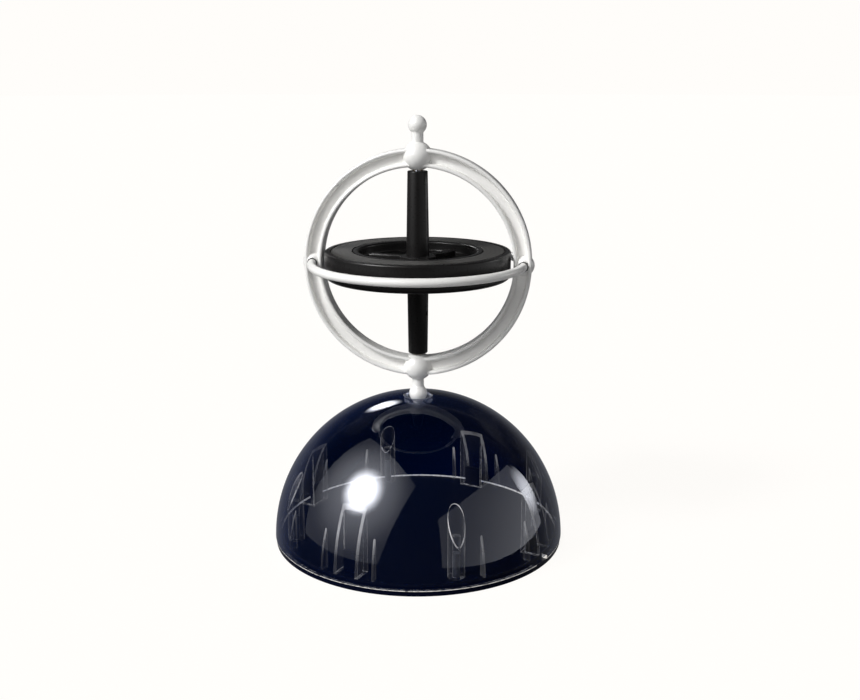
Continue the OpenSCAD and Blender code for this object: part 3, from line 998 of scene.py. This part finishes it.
class GYRO_OT_dome_inside(bpy.types.Operator):
    """Mould the screw posts, tab pockets and ribs inside the dome."""

    bl_idname = "gyro.dome_inside"
    bl_label = "Posts, Pockets and Ribs"

    def execute(self, context):
        s = stand()
        floor, tall = s.inside_floor, DOME_R
        pocket_turn = s.post_turn + math.pi / s.part_count

        post = cylinder(s.post_r, (s.post_ring_r, 0, floor), (s.post_ring_r, 0, tall), 64)
        trim_to_dome(post)
        hole = cylinder(s.post_hole_r, (s.post_ring_r, 0, 0),
                        (s.post_ring_r, 0, floor + s.post_hole_depth), 40)
        combine(post, hole, "DIFFERENCE")
        self.place(post, "screw_post", s.post_turn, s.seam_outline)

        pocket = block((s.pocket_r, -s.pocket_w / 2, floor),
                       (DOME_R - s.pocket_r, s.pocket_w, tall))
        trim_to_dome(pocket)
        wall = s.pocket_wall
        room = block((s.pocket_r + wall, -s.pocket_w / 2 + wall, 0),
                     (DOME_R, s.pocket_w - 2 * wall, 2 * tall))
        combine(pocket, room, "DIFFERENCE")
        self.place(pocket, "tab_pocket", pocket_turn)

        turns = (
            ("rib_by_post", s.post_turn + s.post_rib_angle),
            ("rib_right", pocket_turn - s.pocket_rib_angle),
            ("rib_left", pocket_turn + s.pocket_rib_angle),
        )
        for name, turn in turns:
            rib = block((s.rib_r, -s.rib_t / 2, floor), (DOME_R - s.rib_r, s.rib_t, tall))
            trim_to_dome(rib)
            self.place(rib, name, turn, edges=2)
        return {"FINISHED"}

    @staticmethod
    def place(piece, name, turn, outline=0.0, edges=1):
        """Makes a piece's flat faces clear with a painted sheen (0), its bevels frosted with a
        painted glow (1) or a matt band with painted shade (2), and its seam with the dome that
        band, or clear with a frosted, glowing outline, and sets copies around the stand."""
        s = stand()
        middle, limit, near = Vector((0, 0, dome_z())), limit_r(), 0.05 * MM

        def on_seam(place):
            return abs((place - middle).length - limit) < near

        def rounded(normal):
            return tuple(round(c, 3) for c in normal)

        flat = {rounded(face.normal) for face in piece.data.polygons}
        soften(piece, s.moulded_edge, 2, 50)
        if outline:
            edit(piece, "FACE")
            bpy.ops.object.mode_set(mode="OBJECT")
            for face in piece.data.polygons:
                face.select = on_seam(face.center)
            bpy.ops.object.mode_set(mode="EDIT")
            bpy.ops.mesh.inset(thickness=outline, depth=0)
            bpy.ops.object.mode_set(mode="OBJECT")
        marks = []
        for face in piece.data.polygons:
            if on_seam(face.center):
                marks.append(int(not face.select) if outline else 2)
            else:
                marks.append(0 if rounded(face.normal) in flat else edges)
        smooth(piece, 40)
        for i, each in enumerate(copies_around(piece, s.part_count, turn)):
            finish_piece(each, f"{name}_{i + 1}", "stand", "smoke_dome", None,
                         clear_face_painted_sheen, frosted_edge_painted_glow, seam_band_painted_shade)
            each.data.polygons.foreach_set("material_index", marks)


class GYRO_OT_cup(bpy.types.Operator):
    """Turn the clear cup that the ball sits in."""

    bl_idname = "gyro.cup"
    bl_label = "Cup"

    def execute(self, context):
        s = stand()
        seat_r = BALL_R + s.cup_gap
        flare = math.degrees(s.cup_flare)
        touch = (seat_r * math.cos(s.cup_flare), BALL_Z - seat_r * math.sin(s.cup_flare))
        rim_r = touch[0] + (CUP_RIM_Z - touch[1]) * math.tan(s.cup_flare)
        bead = 0.09 * MM
        inner = DOME_R - s.dome_wall
        neck_z = dome_z() + math.sqrt(inner ** 2 - CUP_R ** 2)
        outline = (
            [(0, CUP_FOOT_Z), (s.cup_foot_r, CUP_FOOT_Z), (CUP_R, neck_z)]
            + [(CUP_R, CUP_RIM_Z - bead), (CUP_R - bead, CUP_RIM_Z)]
            + [(rim_r + bead, CUP_RIM_Z), touch]
            + raised(arc((0, 0), seat_r, -flare, -90, 12)[1:], BALL_Z)
        )
        cup = turned("cup", outline, 96)
        finish_piece(cup, "cup_clear", "stand", "clear_cup", "socket_cup",
                     clear_acrylic, frosted_edge_painted_glow, crisp=25)
        # The rim's top edge takes the frosted edge with its painted glow.
        for face in cup.data.polygons:
            x, y, z = face.center
            face.material_index = int(z > CUP_RIM_Z - bead and math.hypot(x, y) > CUP_R - bead)
        return {"FINISHED"}


def dress(maker, *names):
    """Gives a finish to CAD nodes that keep their meshes."""
    for name in names:
        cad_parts[name].material_slots[0].material = finish(maker)


class GYRO_OT_base(bpy.types.Operator):
    """Give the base plate its finish."""

    bl_idname = "gyro.base"
    bl_label = "Base Plate"

    def execute(self, context):
        dress(navy_styrene, "base_plate")
        return {"FINISHED"}


class GYRO_OT_metal(bpy.types.Operator):
    """Give the pins, screws and bushes their metals."""

    bl_idname = "gyro.metal"
    bl_label = "Pins, Screws and Bushes"

    def execute(self, context):
        dress(zinc_plate, "upper_axle_pin", "lower_axle_pin", "base_screws")
        dress(turned_brass, "upper_bearing", "lower_bearing")
        return {"FINISHED"}


# ---- the stage ----

# The camera: its distance from the axis, height, pitch and side step are fitted to the outline.
CAMERA_AZIMUTH = 6.5
CAMERA_DISTANCE = 361.07 * MM
CAMERA_SIDE = 4.07 * MM
CAMERA_HEIGHT = 158.31 * MM
CAMERA_PITCH = 14.25
FOCAL_PIXELS = 1093.28
PICTURE_WIDTH = 860
SENSOR = 36.0

LAMP_MIDDLE_Z = 40 * MM
UP = Vector((0, 0, 1))


def direction(azimuth, elevation=0):
    """A unit vector: azimuth 0 is towards -Y, 90 towards +X, in degrees."""
    a, e = math.radians(azimuth), math.radians(elevation)
    return Vector((math.sin(a) * math.cos(e), -math.cos(a) * math.cos(e), math.sin(e)))


def add_lamp(name, kind, place, target):
    """A lamp at a place, turned towards a target, and its data."""
    data = bpy.data.lights.new(name, kind)
    lamp = bpy.data.objects.new(name, data)
    bpy.context.scene.collection.objects.link(lamp)
    lamp.location = place
    lamp.rotation_euler = (target - place).to_track_quat("-Z", "Y").to_euler()
    return lamp, data


def sun_lamp(name, towards, irradiance, degrees):
    """A lamp far off, so that the floor is evenly lit, and wide, so that its shadows are soft.
    Gloss has lamps of its own."""
    lamp, data = add_lamp(name, "SUN", towards, Vector())
    data.energy, data.angle = irradiance, math.radians(degrees)
    lamp.visible_glossy = False


def gleam(name, place, target, size, radiance, hot_point, reach, edge=0.0, shape="ELLIPSE"):
    """A lamp that only gloss shows, brightest at a hot point and dimmer away from it, as a lit
    cloth is. Its light on the object is in the sun lamps and the world."""
    lamp, data = add_lamp(name, "AREA", place, target)
    data.shape = shape
    data.size, data.size_y = size
    area = data.size * data.size_y * (math.pi / 4 if shape == "ELLIPSE" else 1)
    data.energy = radiance * math.pi * area
    data.use_nodes = True
    tree = data.node_tree
    tree.nodes.clear()
    here = add(tree, "NewGeometry", "Position")
    away = add(tree, "VectorMath", "Value", {0: here, 1: hot_point}, operation="DISTANCE")
    glow = ease(tree, away, 0.0, reach, 1.0, edge, "SMOOTHERSTEP")
    add(tree, "OutputLight", 0, {"Surface": add(tree, "Emission", 0, {"Strength": glow})})
    lamp.visible_camera = lamp.visible_diffuse = lamp.visible_transmission = False


def lamps():
    """The sun lamps, and what gloss shows: a hot spot in a softbox at the left, a softbox at the
    right and two small lamps for the dome's rim."""
    sun_lamp("key", direction(-56, 40), 2.4, 12)
    sun_lamp("fill", direction(-38, 32), 1.15, 45)
    middle = LAMP_MIDDLE_Z * UP
    hot = middle + direction(-53, 39)
    gleam("key_gleam", hot, middle, (1.1, 1.1), 60, hot, 0.37)
    left, right = direction(-56), direction(71)
    gleam("softbox_left", 0.628 * left + 0.47 * UP, -0.372 * left - 0.04 * UP, (1.2, 1.24), 3.9,
          0.62 * hot + 0.08 * UP, 0.8, 0.12, "RECTANGLE")
    gleam("softbox_right", 0.9 * right + 0.31 * UP, 0.31 * UP, (1.93, 0.89), 1.6,
          0.9 * right - 0.2 * UP + 0.45 * direction(161), 1.3, 0.4, "RECTANGLE")
    back, side = middle + direction(-157, 30), middle + direction(115, 12)
    gleam("rim_left", back, middle, (0.32, 0.2), 21, back, 0.15)
    gleam("rim_right", side, middle, (0.24, 0.66), 8, side, 0.3)


def background_share(tree, gloss_share):
    """How much of the white background a ray sees: all for the eye and glass, and less for
    gloss, which shows a dim room."""
    eye = calc(tree, "MAXIMUM", ray(tree, "Camera"), ray(tree, "Transmission"))
    gloss = calc(tree, "MULTIPLY", ray(tree, "Glossy"), gloss_share)
    return calc(tree, "MAXIMUM", eye, gloss)


def world_light():
    """A dim, even studio, white where the eye and glass see it. Gloss meets a pale room low
    down behind the object, which draws the dome's outline."""
    world = bpy.data.worlds.new("Studio")
    bpy.context.scene.world = world
    world.use_nodes = True
    tree = world.node_tree
    tree.nodes.clear()
    low_down = ease(tree, along(tree, "Z", "Generated"), -0.1, 0.35, 1.0, 0.12)
    behind = ease(tree, along(tree, "Y", "Generated"), 0.0, 0.8, 0.01, 0.2)
    strength = add(tree, "Mix", "Result", {
        "Factor": ray(tree, "Glossy"), "A": 0.14, "B": calc(tree, "MULTIPLY", behind, low_down),
    }, data_type="FLOAT")
    room = add(tree, "Background", 0, {"Color": linear("FAFBFF"), "Strength": strength})
    backdrop = add(tree, "Background", 0, {"Color": colours().floor})
    add(tree, "OutputWorld", 0, {
        "Surface": blend(tree, background_share(tree, 0.0), room, backdrop),
    })


def floor_finish():
    """Matt pale paper: white to the eye and to glass, and it keeps a soft shadow."""
    material, tree = new_finish("PalePaper")
    paper = add(tree, "BsdfDiffuse", 0, {
        "Color": tone(tree, grain(tree, 0.4, 1.0), (0.4, 0.4, 0.4, 1.0), 0.99),
    })
    glow = add(tree, "Emission", 0, {"Color": colours().floor, "Strength": 1.12})
    share = calc(tree, "MULTIPLY", background_share(tree, 0.5), 0.86)
    return show(material, blend(tree, share, paper, glow))


class GYRO_OT_stage(bpy.types.Operator):
    """Set the pale floor, the studio lamps and the camera."""

    bl_idname = "gyro.stage"
    bl_label = "Stage"

    def execute(self, context):
        clear_selection()
        bpy.ops.mesh.primitive_circle_add(vertices=96, radius=8, fill_type="NGON")
        floor = context.object
        floor.name = "floor"
        floor.data.materials.append(floor_finish())
        floor.visible_glossy = False
        lamps()
        world_light()

        data = bpy.data.cameras.new("camera")
        data.sensor_width = SENSOR
        data.lens = FOCAL_PIXELS * SENSOR / PICTURE_WIDTH
        data.clip_start, data.clip_end = 0.01, 20
        camera = bpy.data.objects.new("camera", data)
        context.scene.collection.objects.link(camera)
        turn = Matrix.Rotation(math.radians(CAMERA_AZIMUTH), 4, "Z")
        camera.location = turn @ Vector((CAMERA_SIDE, -CAMERA_DISTANCE, CAMERA_HEIGHT))
        camera.rotation_euler = (
            math.radians(90 - CAMERA_PITCH), 0, math.radians(CAMERA_AZIMUTH))
        context.scene.camera = camera
        context.scene.view_settings.view_transform = "Standard"
        return {"FINISHED"}


# ---- the add-on ----

STEPS = (
    GYRO_OT_gimbal_frame, GYRO_OT_hoops, GYRO_OT_finials, GYRO_OT_rotor, GYRO_OT_spindles,
    GYRO_OT_dome, GYRO_OT_dome_inside, GYRO_OT_cup, GYRO_OT_base, GYRO_OT_metal, GYRO_OT_stage,
)


class GYRO_PT_panel(bpy.types.Panel):
    """Lists the pieces that can be made."""

    bl_idname = "GYRO_PT_panel"
    bl_label = "Gyroscope"
    bl_space_type = "VIEW_3D"
    bl_region_type = "UI"
    bl_category = "Gyroscope"

    def draw(self, context):
        for step in STEPS:
            self.layout.operator(step.bl_idname)


GROUPS = {
    "gyroscope_sizes": GyroscopeSizes,
    "stand_sizes": StandSizes,
    "finish_colours": FinishColours,
}
CLASSES = (*GROUPS.values(), *STEPS, GYRO_PT_panel)


def register():
    for each in CLASSES:
        bpy.utils.register_class(each)
    for name, group in GROUPS.items():
        setattr(bpy.types.Scene, name, bpy.props.PointerProperty(type=group))


def unregister():
    for name in GROUPS:
        delattr(bpy.types.Scene, name)
    for each in reversed(CLASSES):
        bpy.utils.unregister_class(each)


def main():
    register()
    for step in STEPS:
        group, name = step.bl_idname.split(".")
        getattr(getattr(bpy.ops, group), name)()


if __name__ == "__main__":
    main()
